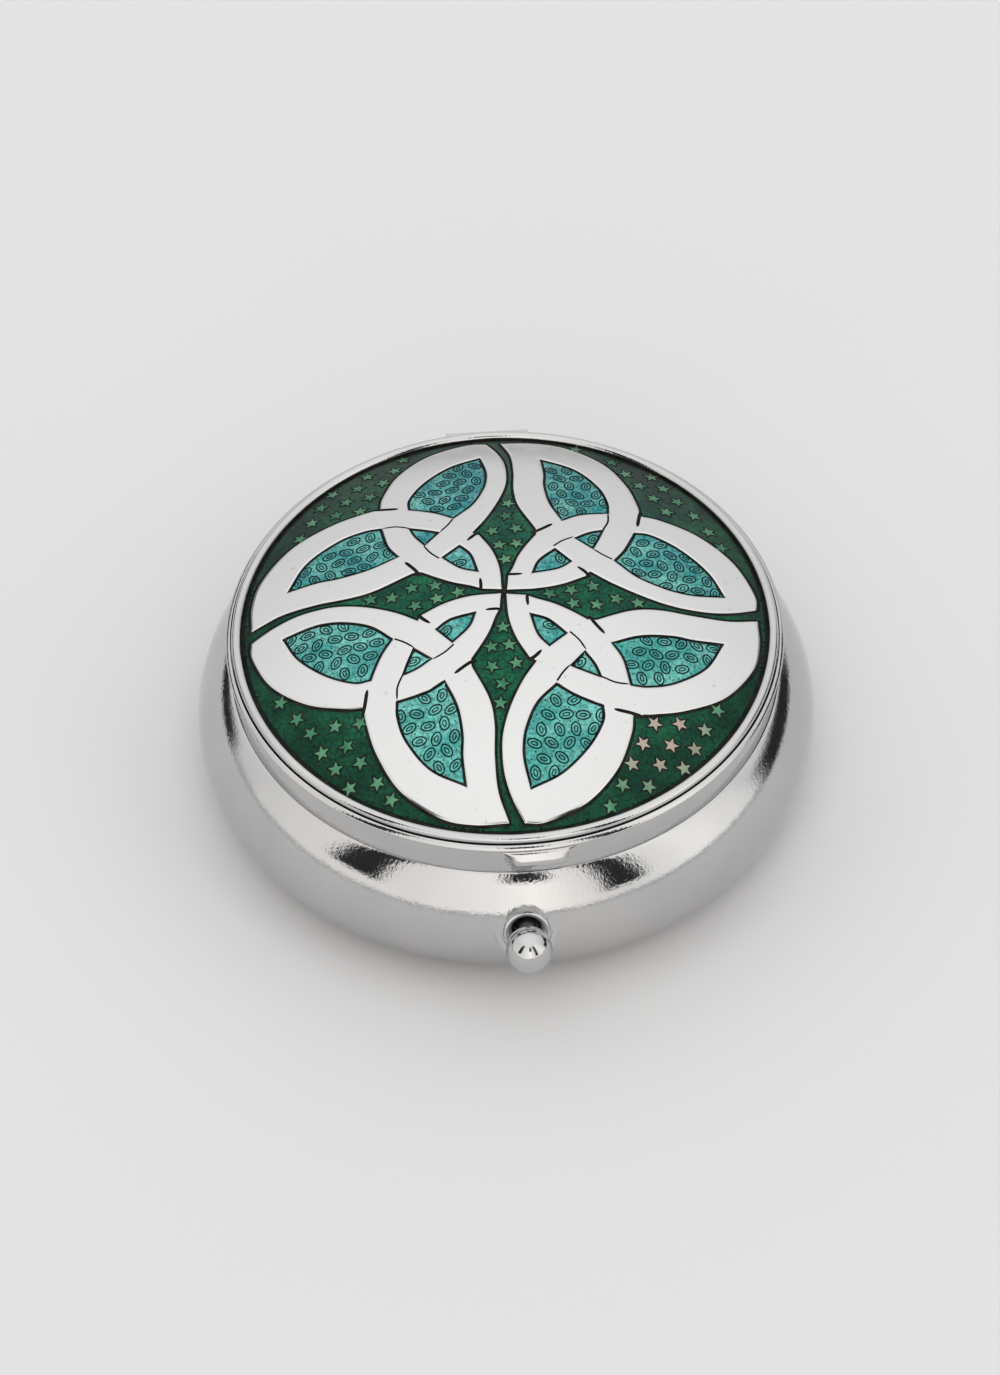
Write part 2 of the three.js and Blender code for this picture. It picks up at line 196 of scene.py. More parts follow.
class Net:
    """Short calls for building a material's node tree."""

    def __init__(self, tree, place="Object"):
        self.tree = tree
        self.shader = tree.nodes.get("Principled BSDF")
        coordinate = self.tree.nodes.new("ShaderNodeTexCoord")
        self.place = coordinate.outputs[place]

    def node(self, kind, **settings):
        """A new node. A setting is a socket's value, or else a property of the node."""
        made = self.tree.nodes.new(kind)
        for key, value in settings.items():
            if key in made.inputs:
                made.inputs[key].default_value = value
            else:
                setattr(made, key, value)
        return made

    def link(self, output, target):
        self.tree.links.new(output, target)

    def noise(self, scale, detail=3.0, roughness=0.5):
        """Noise in space, its scale per metre."""
        made = self.node("ShaderNodeTexNoise", Scale=scale, Detail=detail, Roughness=roughness)
        self.link(self.place, made.inputs["Vector"])
        return made.outputs["Fac"]

    def ramp(self, value, stops):
        """A value turned into colours by (position, colour) stops."""
        made = self.node("ShaderNodeValToRGB")
        elements = made.color_ramp.elements
        while len(elements) < len(stops):
            elements.new(0.5)
        for element, (position, color) in zip(elements, stops):
            element.position = position
            element.color = (*color, 1)
        self.link(value, made.inputs["Fac"])
        return made.outputs["Color"]

    def math(self, operation, a, b=None, clamp=False):
        """A sum of numbers or outputs."""
        made = self.node("ShaderNodeMath", operation=operation, use_clamp=clamp)
        for slot, value in enumerate((a, b)):
            if value is None:
                continue
            if isinstance(value, (int, float)):
                made.inputs[slot].default_value = value
            else:
                self.link(value, made.inputs[slot])
        return made.outputs[0]

    def mix(self, factor, a, b, blend="MIX"):
        """Two colours or outputs mixed by a factor."""
        made = self.node("ShaderNodeMix", data_type="RGBA", blend_type=blend)
        for slot, value in ((0, factor), (6, a), (7, b)):
            if isinstance(value, (int, float)):
                made.inputs[slot].default_value = value
            elif isinstance(value, tuple):
                made.inputs[slot].default_value = (*value, 1)
            else:
                self.link(value, made.inputs[slot])
        return made.outputs[2]

    def step(self, value, start, end):
        """A smooth rise from 0 at start to 1 at end, which may be below start."""
        made = self.node("ShaderNodeMapRange", interpolation_type="SMOOTHSTEP")
        made.inputs["From Min"].default_value = start
        made.inputs["From Max"].default_value = end
        self.link(value, made.inputs["Value"])
        return made.outputs["Result"]

    def window(self, value, low, high, soft):
        """1 between low and high, 0 outside, with soft ends."""
        rise = self.step(value, low - soft, low + soft)
        return self.math("MULTIPLY", rise, self.step(value, high + soft, high - soft))

    def bump(self, height, distance, strength=1.0):
        """Gives the shader's surface a fine relief, its distance in metres."""
        made = self.node("ShaderNodeBump", Distance=distance, Strength=strength)
        self.link(height, made.inputs["Height"])
        self.link(made.outputs["Normal"], self.shader.inputs["Normal"])


def grey_range(low, high):
    """Colour stops that turn a noise into greys between two values."""
    return [(0.3, (low, low, low)), (0.7, (high, high, high))]


def chrome_material():
    """Chrome plate: nearly a mirror, with faint ripples of the pressed sheet and a fine grain."""
    material = paint("chrome_plate", (0.53, 0.53, 0.53), 0.08, 1.0)
    net = Net(material.node_tree)
    wear = net.ramp(net.noise(900, 4), grey_range(0.035, 0.08))
    net.link(wear, net.shader.inputs["Roughness"])
    tint = net.ramp(net.noise(120, 2), [(0.3, (0.50, 0.50, 0.505)), (0.7, (0.56, 0.555, 0.55))])
    net.link(tint, net.shader.inputs["Base Color"])
    ripple = net.math("ADD", net.noise(260, 2), net.math("MULTIPLY", net.noise(4200, 3), 0.5))
    net.bump(ripple, 0.00004, 0.5)
    return material


def steel_material():
    """Rolled steel, duller and more uneven than the chrome."""
    material = paint("rolled_steel", (0.6, 0.61, 0.62), 0.3, 1.0)
    net = Net(material.node_tree)
    net.link(net.ramp(net.noise(1500, 4), grey_range(0.22, 0.4)), net.shader.inputs["Roughness"])
    shade = net.ramp(net.noise(400, 3), [(0.3, (0.5, 0.51, 0.52)), (0.7, (0.66, 0.66, 0.67))])
    net.link(shade, net.shader.inputs["Base Color"])
    net.bump(net.noise(3000, 3), 0.00001, 0.5)
    return material


def silver_material():
    """Polished silver bands: bright, with tiny darker specks and a polishing haze."""
    material = paint("polished_silver", (0.62, 0.62, 0.61), 0.16, 1.0)
    net = Net(material.node_tree)
    net.link(net.ramp(net.noise(700, 5), grey_range(0.1, 0.2)), net.shader.inputs["Roughness"])
    pits = net.ramp(net.noise(1600, 2), [(0.2, (0.50, 0.50, 0.49)), (0.32, (0.63, 0.63, 0.625))])
    net.link(pits, net.shader.inputs["Base Color"])
    net.bump(net.noise(420, 3), 0.00002, 0.25)
    return material


def enamel_material(name, near, far, bright, painted_edge_shade):
    """Clear enamel over a struck ground: near and far colours at the front and back, bright
    clouds, and painted shade that darkens it towards the disc's edge, to a share of itself.
    """
    material = paint(name, near, 0.36, 0.9, Coat_Weight=0.12, Coat_Roughness=0.06)
    net = Net(material.node_tree)
    split = net.node("ShaderNodeSeparateXYZ")
    net.link(net.place, split.inputs[0])
    front, back = -0.012, 0.012
    ground = net.mix(net.step(split.outputs["Y"], front, back), near, far)
    cloud = net.ramp(net.noise(420, 3), [(0.4, (0, 0, 0)), (0.66, (0.95, 0.95, 0.95))])
    ground = net.mix(cloud, ground, bright)
    plan = net.node("ShaderNodeVectorMath", operation="MULTIPLY")
    net.link(net.place, plan.inputs[0])
    plan.inputs[1].default_value = (1, 1, 0)
    length = net.node("ShaderNodeVectorMath", operation="LENGTH")
    net.link(plan.outputs[0], length.inputs[0])
    # painted shade: the colour darkens from inner_r out to outer_r, towards the disc's edge
    inner_r, outer_r = 0.013, 0.0205
    outer = net.step(length.outputs["Value"], inner_r, outer_r)
    ground = net.mix(outer, ground, net.mix(1.0, ground, (painted_edge_shade, painted_edge_shade, painted_edge_shade), "MULTIPLY"))
    grain = net.noise(3600, 3, 0.7)
    dark = net.ramp(grain, [(0.32, (0.35, 0.35, 0.35)), (0.62, (1.25, 1.25, 1.25))])
    ground = net.mix(1.0, ground, dark, "MULTIPLY")
    net.link(ground, net.shader.inputs["Base Color"])
    net.bump(grain, 0.00003, 0.6)
    return material


def line_material():
    """The dark lines round every cell, and the engraved slits: dark fill in these grooves, its black
    partly painted shade.
    """
    material = paint("dark_line", (0.01, 0.011, 0.01), 0.75, 0.0, Specular_IOR_Level=0.15)
    net = Net(material.node_tree)
    shade = net.ramp(net.noise(900, 3), [(0.35, (0.004, 0.006, 0.005)), (0.7, (0.022, 0.02, 0.016))])
    net.link(shade, net.shader.inputs["Base Color"])
    net.bump(net.noise(2500, 2), 0.00002, 0.4)
    return material


def star_material():
    """Thin enamel over the raised stars: green, with a painted reflection of pale pinkish metal
    round one spot at the right front.
    """
    material = paint("star_glint", (0.1, 0.22, 0.14), 0.3, 0.9)
    net = Net(material.node_tree)
    place = net.node("ShaderNodeVectorMath", operation="DISTANCE")
    net.link(net.place, place.inputs[0])
    # painted highlight: stars near this spot turn pale pinkish metal, a painted reflection
    painted_glint_centre = (0.0105, -0.0125, 0.017)
    place.inputs[1].default_value = painted_glint_centre
    painted_glint = net.step(place.outputs["Value"], 0.0065, 0.002)
    green = net.ramp(net.noise(500, 2), [(0.35, (0.03, 0.15, 0.08)), (0.65, (0.11, 0.28, 0.16))])
    net.link(net.mix(painted_glint, green, (0.40, 0.33, 0.27)), net.shader.inputs["Base Color"])
    net.bump(net.noise(5000, 2), 0.00001, 0.5)
    return material


def oval_material():
    """The dark struck lines of the ovals."""
    material = paint("oval_line", (0.001, 0.01, 0.011), 0.6, 0.2, Specular_IOR_Level=0.15)
    net = Net(material.node_tree)
    shade = net.ramp(net.noise(900, 2), [(0.35, (0.0, 0.006, 0.007)), (0.65, (0.002, 0.02, 0.02))])
    net.link(shade, net.shader.inputs["Base Color"])
    return material


def tray_material():
    """Moulded plastic, satin and off-white."""
    material = paint("moulded_tray", (0.84, 0.83, 0.8), 0.4, 0.0)
    net = Net(material.node_tree)
    net.link(net.ramp(net.noise(500, 4), grey_range(0.32, 0.5)), net.shader.inputs["Roughness"])
    shade = net.ramp(net.noise(60, 2), [(0.3, (0.82, 0.81, 0.78)), (0.7, (0.87, 0.86, 0.83))])
    net.link(shade, net.shader.inputs["Base Color"])
    net.bump(net.noise(2500, 2), 0.00002, 0.5)
    return material


def mirror_material():
    """Silvered glass with a trace of haze."""
    material = paint("silvered_glass", (0.93, 0.95, 0.95), 0.01, 1.0)
    net = Net(material.node_tree)
    net.link(net.ramp(net.noise(300, 2), grey_range(0.005, 0.02)), net.shader.inputs["Roughness"])
    return material


def foam_material():
    """Dark matt foam."""
    material = paint("pad_foam", (0.09, 0.09, 0.1), 0.9)
    net = Net(material.node_tree)
    shade = net.ramp(net.noise(2500, 2), [(0.3, (0.06, 0.06, 0.065)), (0.7, (0.13, 0.13, 0.135))])
    net.link(shade, net.shader.inputs["Base Color"])
    net.bump(net.noise(2500, 2), 0.0001, 0.6)
    return material


# ---- mesh helpers ----


def arc(r, z, radius, start, end, steps):
    """Points on an arc round (r, z), angles in degrees."""
    angles = np.radians(np.linspace(start, end, steps + 1))
    return [(r + radius * math.cos(a), z + radius * math.sin(a)) for a in angles]


def bend(start, corner, end, steps):
    """Points on a smooth bend between two ends, pulled towards a corner."""
    start, corner, end = (np.array(p) for p in (start, corner, end))
    shares = np.linspace(0, 1, steps + 1)
    return [tuple((1 - t) ** 2 * start + 2 * t * (1 - t) * corner + t * t * end) for t in shares]


def linked(name, mesh):
    """A new object with this mesh, in the scene."""
    piece = bpy.data.objects.new(name, mesh)
    bpy.context.scene.collection.objects.link(piece)
    return piece


def finish_mesh(bm, name, sharp=35):
    """Makes the object: welded, faces outwards, smooth but for edges sharper than an angle."""
    bmesh.ops.remove_doubles(bm, verts=bm.verts, dist=1e-4)
    bmesh.ops.dissolve_degenerate(bm, dist=1e-5, edges=bm.edges)
    bmesh.ops.recalc_face_normals(bm, faces=bm.faces)
    for face in bm.faces:
        face.smooth = True
    for edge in bm.edges:
        edge.smooth = len(edge.link_faces) != 2 or edge.calc_face_angle() < math.radians(sharp)
    bmesh.ops.scale(bm, vec=(MM, MM, MM), verts=bm.verts)
    mesh = bpy.data.meshes.new(name)
    bm.to_mesh(mesh)
    bm.free()
    return linked(name, mesh)


def turned_bmesh(profile, facets=FACETS, closed=True):
    """A profile of (radius, height) turned about Z. Points on the axis close it."""
    bm = bmesh.new()
    rings = []
    for r, z in profile:
        if r < 1e-6:
            rings.append([bm.verts.new((0, 0, z))] * facets)
            continue
        turn = [2 * math.pi * k / facets for k in range(facets)]
        rings.append([bm.verts.new((r * math.cos(a), r * math.sin(a), z)) for a in turn])
    pairs = list(zip(rings, rings[1:]))
    if closed:
        pairs.append((rings[-1], rings[0]))
    for low, high in pairs:
        for k in range(facets):
            j = (k + 1) % facets
            corners = []
            for vert in (low[k], low[j], high[j], high[k]):
                if vert not in corners:
                    corners.append(vert)
            if len(corners) > 2:
                bm.faces.new(corners)
    return bm


def dress(piece, body, material, slot, *replaced):
    """Rides the piece on its body, gives it its material and hides the nodes it stands for."""
    piece.data.materials.append(material)
    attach(piece, body)
    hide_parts(*replaced)


def cut(piece, tool):
    """Cuts the tool out of the piece and deletes the tool."""
    modifier = piece.modifiers.new("cut", "BOOLEAN")
    modifier.operation = "DIFFERENCE"
    modifier.solver = "EXACT"
    modifier.object = tool
    bpy.context.view_layer.objects.active = piece
    bpy.ops.object.modifier_apply(modifier=modifier.name)
    bpy.data.objects.remove(tool)


def box_bmesh(low, high):
    """A box between two corners."""
    bm = bmesh.new()
    bmesh.ops.create_cube(bm, size=1)
    size = Vector(high) - Vector(low)
    bmesh.ops.scale(bm, vec=size, verts=bm.verts)
    bmesh.ops.translate(bm, vec=(Vector(low) + Vector(high)) / 2, verts=bm.verts)
    return bm


def dome_height(x, y):
    """Height of the medallion's top at a point of the plan."""
    return math.sqrt(DOME_R ** 2 - x * x - y * y) - DOME_R + RISE + RIM_Z


# ---- case ----


def case_line(grow, mouth):
    """The case's outer line from the middle of its bottom to its mouth radius, grown by some."""
    centre = BULGE_R + BULGE - SHOULDER_R
    top = math.degrees(math.acos((mouth - centre) / (SHOULDER_R + grow)))
    side = arc(BULGE_R, BULGE, BULGE + grow, -90, 0, 28)
    shoulder = arc(centre, BULGE, SHOULDER_R + grow, 0, top, 24)
    return [(0, -grow), (BULGE_R * 0.5, -grow), *side, *shoulder[1:]]


def button_frame():
    """The frame whose +Z is the button's axis and whose origin is on the case."""
    turn = Matrix.Rotation(math.radians(90 - BUTTON_TILT), 4, "X")
    return Matrix.Translation(Vector(BUTTON_ROOT)) @ turn


def on_button(profile, facets=64):
    """A profile turned about the button's axis, heights measured along it from its root."""
    bm = turned_bmesh(profile, facets, closed=False)
    bm.transform(button_frame())
    return bm


def rod(radius, reach):
    """The profile of a plain rod that reaches as far below its origin as above."""
    return [(0, -reach), (radius, -reach), (radius, reach), (0, reach)]


def make_case(chrome):
    """The pressed shell, with the button's hole and the latch's two rivet holes."""
    outer = case_line(0, MOUTH_R + 0.06)
    inner = case_line(-SHEET, MOUTH_R)[::-1]
    mouth_z = outer[-1][1]
    lip = [(MOUTH_R + 0.02, mouth_z + 0.02), (MOUTH_R, mouth_z - 0.02)]
    shell = finish_mesh(turned_bmesh([*outer, *lip, *inner], closed=False), "case_shell")
    cut(shell, finish_mesh(on_button(rod(1.5, 2)), "hole"))
    for x, y in RIVETS:
        rivet = turned_bmesh(rod(0.6, 1), 32, closed=False)
        bmesh.ops.translate(rivet, vec=(x, y, 0), verts=rivet.verts)
        cut(shell, finish_mesh(rivet, "rivet_hole"))
    dress(shell, "base", chrome, "chrome", "base_shell")


def make_neck(chrome):
    """The collar under the lid, rounded at the top and notched for the hinge."""
    low, high = NECK_LOW.z, NECK_HIGH.z
    outer, bore = NECK_HIGH.x, 21.3
    edge = 0.12
    profile = [
        (bore, low), (outer, low), (outer, high - edge),
        *arc(outer - edge, high - edge, edge, 20, 90, 4),
        *arc(bore + edge, high - edge, edge, 90, 180, 4),
    ]
    neck = finish_mesh(turned_bmesh(profile), "neck_collar")
    half_hinge, hinge_z = 5.4, 11.45
    cut(neck, finish_mesh(box_bmesh((-half_hinge, 20, hinge_z), (half_hinge, 23, 15)), "notch"))
    dress(neck, "base", chrome, "chrome", "neck_ring")


# ---- button ----


def make_button(chrome, steel):
    """The ferrule's pad with its groove and cup, the ball, and the stem that carries it."""
    ferrule_line = [
        (0.95, -1.5), (1.4, -1.5), (1.42, -0.9), (2.5, -0.95), (2.5, -0.12), (2.46, -0.02),
        (2.38, 0.03), (1.99, 0.04), (1.96, -0.04), (1.88, -0.04), (1.86, 0.04), (1.84, 0.24),
        (1.78, 0.34), (1.66, 0.37), (1.52, 0.3), (1.34, 0.12), (1.1, -0.15),
        (0.95, -0.45), (0.95, -1.5),
    ]
    reach, back = BUTTON_REACH, BUTTON_REACH - BALL_R
    ball_line = [
        (0, reach - 0.5), (0.85, reach - 0.5), (0.85, back + 0.25), (1.1, back + 0.27),
        *arc(0, reach, BALL_R, -50, 90, 36)[:-1], (0, reach + BALL_R),
    ]
    stem_line = [
        (0, -5.1), (0.45, -5.1), (0.8, -4.7), (0.8, -2.3), (0.55, -2.3), (0.55, -1.9),
        (0.8, -1.9), (0.8, 0.5), *bend((0.8, 0.5), (0.85, 1.2), (1.2, 1.62), 8)[1:],
        (0.8, 1.7), (0.8, reach - 0.6), (0, reach - 0.6),
    ]
    ferrule = finish_mesh(on_button(ferrule_line), "button_collar")
    dress(ferrule, "base", chrome, "chrome", "button_ferrule")
    ball = finish_mesh(on_button(ball_line), "push_ball")
    dress(ball, "button", chrome, "chrome", "button_ball")
    stem = finish_mesh(on_button(stem_line), "push_stem")
    dress(stem, "button", steel, "spring_steel", "button_stem")


# ---- lid ----


def make_lid_metal(chrome, line):
    """The lid's dish, the bead round the enamel with its foot dark as painted shade in the seam, and
    the tab.
    """
    low, top, rim, crest = PAN_LOW.z, PAN_LOW.z + 0.3, PAN_HIGH.x, PAN_HIGH.z
    pan = finish_mesh(turned_bmesh([
        (0, low), (10, low), (20.5, low), (rim - 0.08, low),
        *arc(rim - 0.06, low + 0.06, 0.06, -90, 0, 4)[1:],
        *bend((rim, low + 0.1), (rim - 0.08, top - 0.02), (rim - 0.32, crest - 0.02), 8),
        *bend((rim - 0.32, crest - 0.02), (rim - 0.42, crest), (rim - 0.44, top - 0.05), 5)[1:],
        (20.5, top - 0.1), (10, top - 0.1), (0, top - 0.1),
    ], closed=False), "lid_dish")
    dress(pan, "lid", chrome, "chrome", "lid_pan")
    floor, bead = BEZEL_LOW.z, 0.4
    bezel = finish_mesh(turned_bmesh([
        (21.03, floor), (21.8, floor), (21.82, floor + 0.1),
        *arc(21.42, BEZEL_HIGH.z - bead, bead, 0, 165, 16),
        (21.03, floor + 0.15),
    ]), "bezel_bead")
    dress(bezel, "lid", chrome, "chrome", "bezel_ring")
    bezel.data.materials.append(line)
    # painted shade: the bead's outer foot takes the dark line material, for the seam by the dish
    outer_side, foot = 21.5, BEZEL_HIGH.z - 0.42
    for face in bezel.data.polygons:
        x, y, z = face.center / MM
        if z < foot and math.hypot(x, y) > outer_side:
            face.material_index = 1
    dress(tab_piece(), "lid", chrome, "chrome", "thumb_tab")


def tab_half_width(down):
    """Half the tab's width, from 0 at its filleted top to 1 at its round corners."""
    fillet = 0.85 * (1 - down) ** 5
    corner = 0.3 * (max(0.0, down - 0.7) / 0.3) ** 2
    return 2.15 + fillet - corner


def tab_piece():
    """A lip that flares out under the lid's rim, filleted into it and round at its corners."""
    middle = math.radians(-90 + TAB_TURN)
    lip = [
        *bend((22.12, 14.17), (22.42, 14.2), (22.6, 13.85), 5),
        *bend((22.6, 13.85), (22.93, 13.45), (22.92, 13.12), 7)[1:],
        *bend((22.92, 13.12), (22.9, 12.92), (22.72, 12.93), 4)[1:],
        *bend((22.72, 12.93), (22.62, 13.3), (22.4, 13.62), 5)[1:],
        *bend((22.4, 13.62), (22.28, 13.82), (22.12, 13.9), 4)[1:],
    ]
    top, height, root, edge, columns = 14.15, 1.2, 22.25, 22.6, 40
    bm = bmesh.new()
    rows = []
    for k in range(columns + 1):
        across = 2 * k / columns - 1
        squeeze = (abs(across) ** 14) * 0.5
        row = []
        for r, z in lip:
            half = tab_half_width(min(1.0, max(0.0, (top - z) / height)))
            reach = root + (r - root) * (1 - squeeze) if r > root else r
            turn = middle + math.asin(across * half / edge)
            row.append(bm.verts.new((reach * math.cos(turn), reach * math.sin(turn), z)))
        rows.append(row)
    count = len(lip)
    for left, right in zip(rows, rows[1:]):
        for n in range(count):
            j = (n + 1) % count
            bm.faces.new((left[n], left[j], right[j], right[n]))
    bm.faces.new(rows[0])
    bm.faces.new(rows[-1][::-1])
    return finish_mesh(bm, "thumb_lip", 50)


# ---- knotwork: outlines in plan for one quarter, which turned_quarters repeats ----

KNOT_TURN = -5.34                # degrees from the button's axes
STEP = 0.22                      # spacing along an outline
EDGE_ROUND = 0.07                # the bands' rounded edge
LINE_WIDTH = 0.23                # the dark line round a cell
GROUND_DROP = 0.11               # the enamel's ground below the bands' top
ROW_PITCH = 0.866                # between staggered rows, as a share of their spacing
TIP_A, TIP_B = (20.1, 2.1), (-0.9, 20.15)       # a petal's two outer tips
CORE = (0.24, 0.2)                              # a petal's corner next to the middle


def smooth(points, step=STEP):
    """A Catmull-Rom curve through the points, without the last one."""
    points = [np.array(p, float) for p in points]
    first, last = 2 * points[0] - points[1], 2 * points[-1] - points[-2]
    control = [first, *points, last]
    out = []
    for a, b, c, d in zip(control, control[1:], control[2:], control[3:]):
        count = max(2, round(float(np.linalg.norm(c - b)) / step))
        for t in np.arange(count) / count:
            out.append(0.5 * (
                2 * b + (c - a) * t + (2 * a - 5 * b + 4 * c - d) * t ** 2
                + (3 * b - a - 3 * c + d) * t ** 3
            ))
    return out


def outline(*edges):
    """Edges, each a list of points that starts where the last ended, as one closed outline."""
    return np.array([p for edge in edges for p in smooth(edge)])


def petal_outline():
    """A quarter's bands: from the middle out, round both outer loops at the tips, and back."""
    return outline(
        [CORE, (2.6, 0.45), (4.6, 1.1), (6.4, 2.15)],
        [(6.4, 2.15), (6.75, 2.75)],
        [(6.75, 2.75), (8.6, 1.7), (10.9, 0.8), (13.0, 0.3), (14.7, 0.25), (16.6, 0.5), (18.4, 1.15),
         TIP_A],
        [TIP_A, (19.9, 3.85), (18.2, 6.9), (15.4, 9.15), (12.4, 10.2), (10.72, 10.35)],
        [(10.72, 10.35), (10.4, 11.9), (9.5, 14.5), (7.6, 17.5), (4.5, 19.7), (1.8, 20.3), TIP_B],
        [TIP_B, (0.0, 17.8), (0.34, 15.0), (0.42, 12.4), (0.9, 10.2), (2.35, 7.35)],
        [(2.35, 7.35), (2.4, 6.65)],
        [(2.4, 6.65), (1.65, 5.3), (1.05, 4.0), (0.6, 2.5)],
        [(0.6, 2.5), (0.3, 1.75)],
        [(0.3, 1.75), CORE],
    )


def cell_outlines():
    """The turquoise cells of a quarter: two large, one small by the core and one central."""
    return [
        outline(
            [(17.6, 2.5), (15.4, 1.9), (13.9, 1.8), (12.4, 2.03), (10.4, 2.8), (8.6, 4.3)],
            [(8.6, 4.3), (9.4, 5.7), (9.95, 7.2), (10.2, 8.06)],
            [(10.2, 8.06), (11.6, 8.1), (13.9, 7.0), (16.2, 4.95), (17.6, 2.5)],
        ),
        outline(
            [(2.4, 17.5), (2.75, 15.1), (2.8, 13.2), (3.3, 10.8), (4.4, 8.5)],
            [(4.4, 8.5), (5.9, 9.45), (8.2, 10.1)],
            [(8.2, 10.1), (8.1, 11.6), (7.3, 13.7), (5.3, 16.1), (2.4, 17.5)],
        ),
        outline(
            [(5.36, 3.7), (4.2, 2.7), (2.1, 2.03)],
            [(2.1, 2.03), (2.6, 3.6), (3.92, 5.14)],
            [(3.92, 5.14), (5.36, 3.7)],
        ),
        outline(
            [(7.0, 5.3), (7.45, 6.6), (7.85, 7.95)],
            [(7.85, 7.95), (6.6, 7.4), (5.4, 6.5)],
            [(5.4, 6.5), (7.0, 5.3)],
        ),
    ]


def slit(points, width):
    """A thin outline along a curve, with a rounded end."""
    line = np.array(smooth(points) + [np.array(points[-1], float)])
    along = np.gradient(line, axis=0)
    along /= np.linalg.norm(along, axis=1)[:, None]
    across = np.stack([-along[:, 1], along[:, 0]], axis=1)
    narrowing = np.ones((len(line), 1))
    narrowing[-2:] = [[0.85], [0.4]]
    half = across * narrowing * width / 2
    return np.vstack([line + half, (line - half)[::-1]])


def stub_outlines():
    """Dark slits that run on from the fields into the bands, where one band crosses another."""
    return [
        slit([(6.75, 2.1), (6.35, 2.62), (5.75, 3.1)], 0.3),
        slit([(10.75, 10.9), (10.62, 10.2), (10.48, 8.85)], 0.3),
        slit([(2.0, 6.75), (2.7, 7.2), (3.65, 8.0)], 0.3),
        slit([(0.1, 1.85), (0.7, 1.85), (1.4, 1.93)], 0.27),
    ]


def hairline_outlines():
    """Fine engraved lines across a band, along the edge of the band that lies over it."""
    return [
        slit([(8.5, 4.37), (7.7, 4.8), (6.95, 5.35)], 0.16),
        slit([(3.8, 5.28), (4.5, 6.0), (5.38, 6.58)], 0.16),
        slit([(7.72, 7.8), (8.1, 8.9), (8.1, 10.0)], 0.16),
    ]


def turned_quarters(outlines):
    """Each outline four times round the middle, in the part's frame."""
    out = []
    for k in range(4):
        a = math.radians(180 + 90 * k + KNOT_TURN)
        spin = np.array([[math.cos(a), math.sin(a)], [-math.sin(a), math.cos(a)]])
        out += [shape @ spin for shape in outlines]
    return out


def inside(points, polygon):
    """Which points lie inside a closed outline."""
    x, y = points[:, 0], points[:, 1]
    found = np.zeros(len(points), bool)
    for (x1, y1), (x2, y2) in zip(polygon, np.roll(polygon, -1, axis=0)):
        if y1 == y2:
            continue
        crosses = (y1 > y) != (y2 > y)
        found ^= crosses & (x < (x2 - x1) * (y - y1) / (y2 - y1) + x1)
    return found


def inside_any(points, polygons):
    """Which points lie inside any of some closed outlines."""
    found = np.zeros(len(points), bool)
    for polygon in polygons:
        near = np.all((points > polygon.min(0)) & (points < polygon.max(0)), axis=1)
        if near.any():
            found[near] |= inside(points[near], polygon)
    return found


def distance_to(lines):
    """A function giving each point's distance to the nearest of some closed outlines."""
    pitch = 0.04
    dense = []
    for line in lines:
        for a, b in zip(line, np.roll(line, -1, axis=0)):
            count = max(1, int(np.linalg.norm(b - a) / pitch))
            dense += [a + (b - a) * t for t in np.arange(count) / count]
    tree = kdtree.KDTree(len(dense))
    for k, (x, y) in enumerate(dense):
        tree.insert((x, y, 0), k)
    tree.balance()
    return lambda points: np.array([tree.find((x, y, 0))[2] for x, y in points])


def honeycomb(spacing, radius):
    """Points in staggered rows over a disc."""
    points = []
    rows = int(radius / (spacing * ROW_PITCH)) + 1
    for row in range(-rows, rows + 1):
        for column in range(-rows - 1, rows + 2):
            x = (column + 0.5 * (row % 2)) * spacing
            y = row * spacing * ROW_PITCH
            if math.hypot(x, y) < radius:
                points.append((x, y))
    return np.array(points)


def scatter(spacing, jitter, allowed, rng):
    """Staggered places with some jitter that an allowed() test keeps."""
    places = honeycomb(spacing, MEDALLION_R)
    moved = np.array([
        (x + rng.uniform(-jitter, jitter), y + rng.uniform(-jitter, jitter)) for x, y in places
    ])
    return moved[allowed(moved)]


